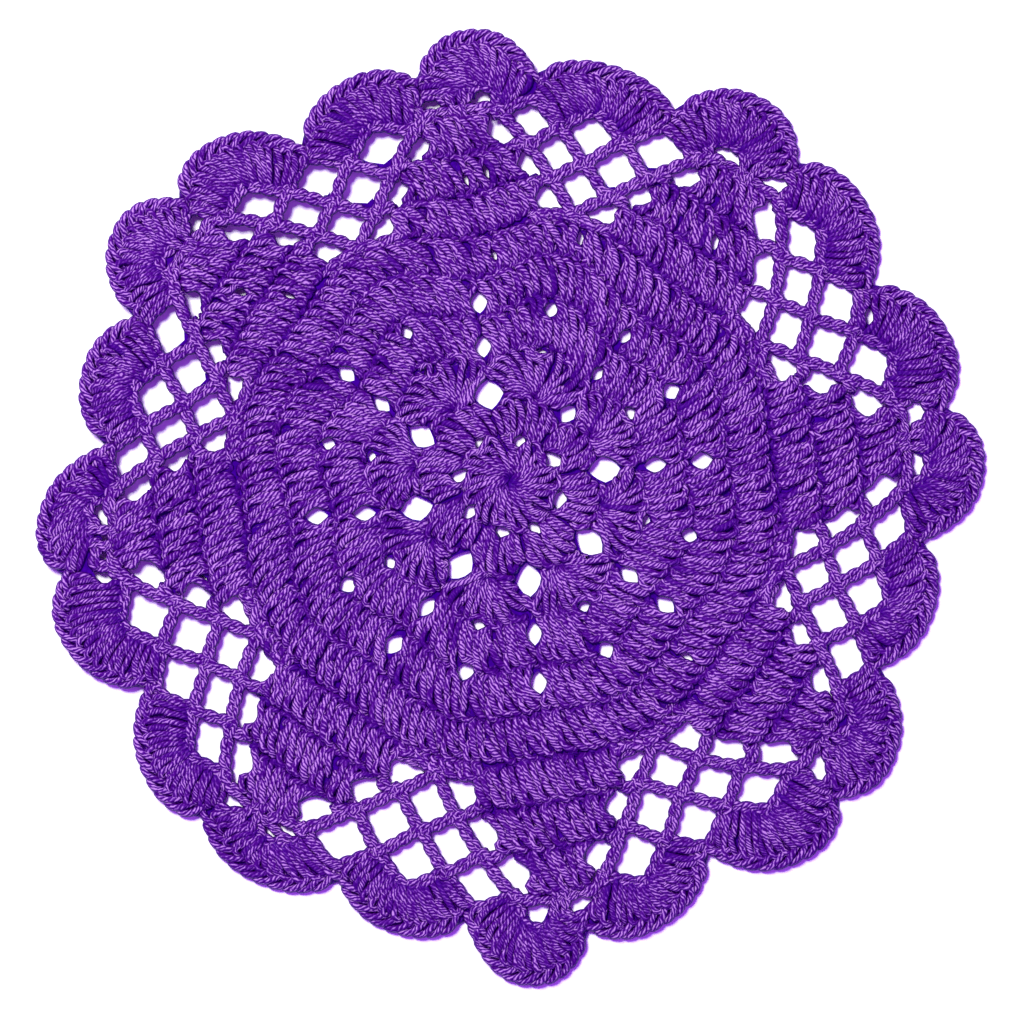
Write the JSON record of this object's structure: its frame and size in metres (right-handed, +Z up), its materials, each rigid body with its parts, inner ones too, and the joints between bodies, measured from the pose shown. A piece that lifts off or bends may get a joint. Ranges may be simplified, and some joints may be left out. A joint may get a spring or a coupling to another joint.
{
  "type": "crocheted lace doily",
  "caption": "Round crocheted cotton doily with solid leaf-shaped petals, chain-net fans between them and a border of scalloped shells, lying flat",
  "frame": {"origin": "centre of the starting ring, on the underside that rests on the table", "axes": "+Z up out of the face that shows, +Y towards the top of the picture and +X towards its right"},
  "size_m": [0.2846, 0.287, 0.0034],
  "materials": {
    "yarn": "mercerised cotton yarn, soft sheen"
  },
  "bodies": {
    "root": {"doily": "yarn"}
  },
  "joints": []
}
